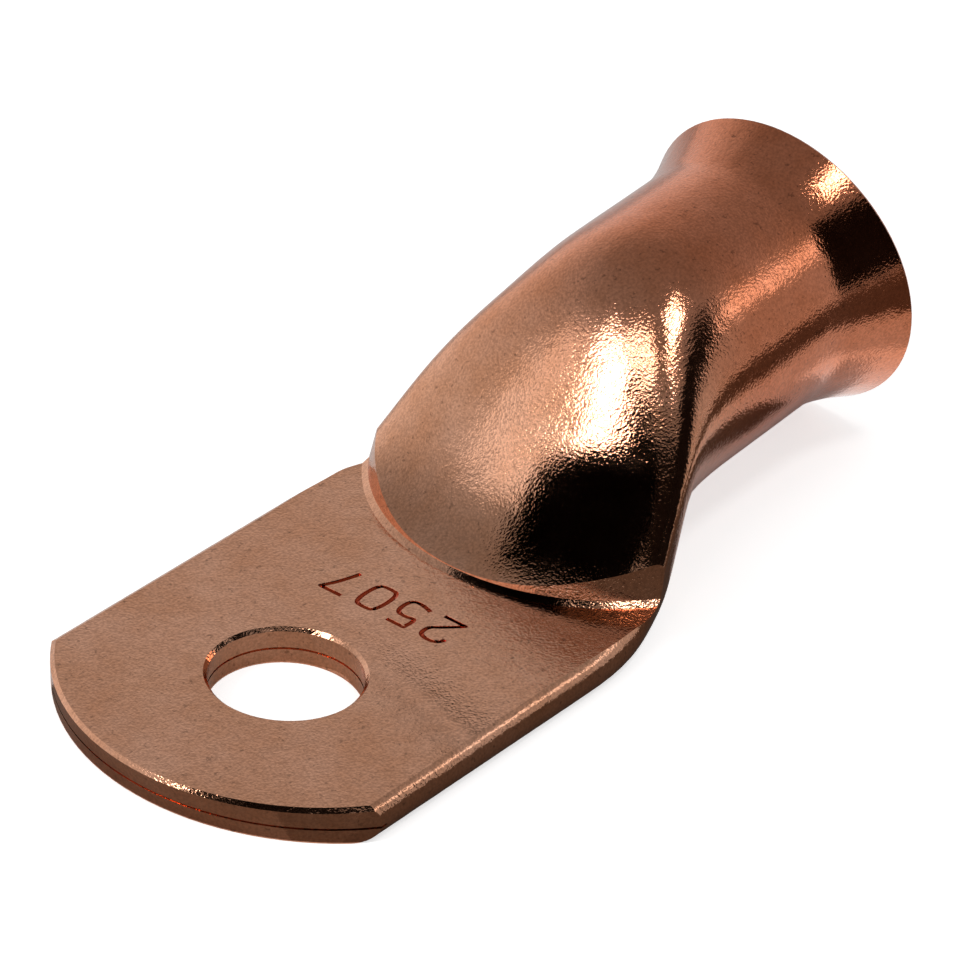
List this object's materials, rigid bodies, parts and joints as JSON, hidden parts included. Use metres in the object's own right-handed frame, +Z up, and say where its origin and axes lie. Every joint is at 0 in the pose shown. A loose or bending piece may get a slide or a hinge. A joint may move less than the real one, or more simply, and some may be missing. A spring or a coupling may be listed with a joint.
{
  "type": "copper cable lug",
  "caption": "One-piece copper tube lug: flattened tongue with a stud hole, round barrel with a flared mouth for the conductor.",
  "frame": {"origin": "centre of the stud hole on the tongue's underside", "axes": "+X from the stud hole towards the flared mouth, +Y across the tongue, +Z up out of the tongue"},
  "size_m": [0.0697, 0.0284, 0.0229],
  "materials": {
    "copper": "bright bare copper with a fine grain and light handling marks"
  },
  "bodies": {
    "root": {"lug_body": "copper"}
  },
  "joints": []
}
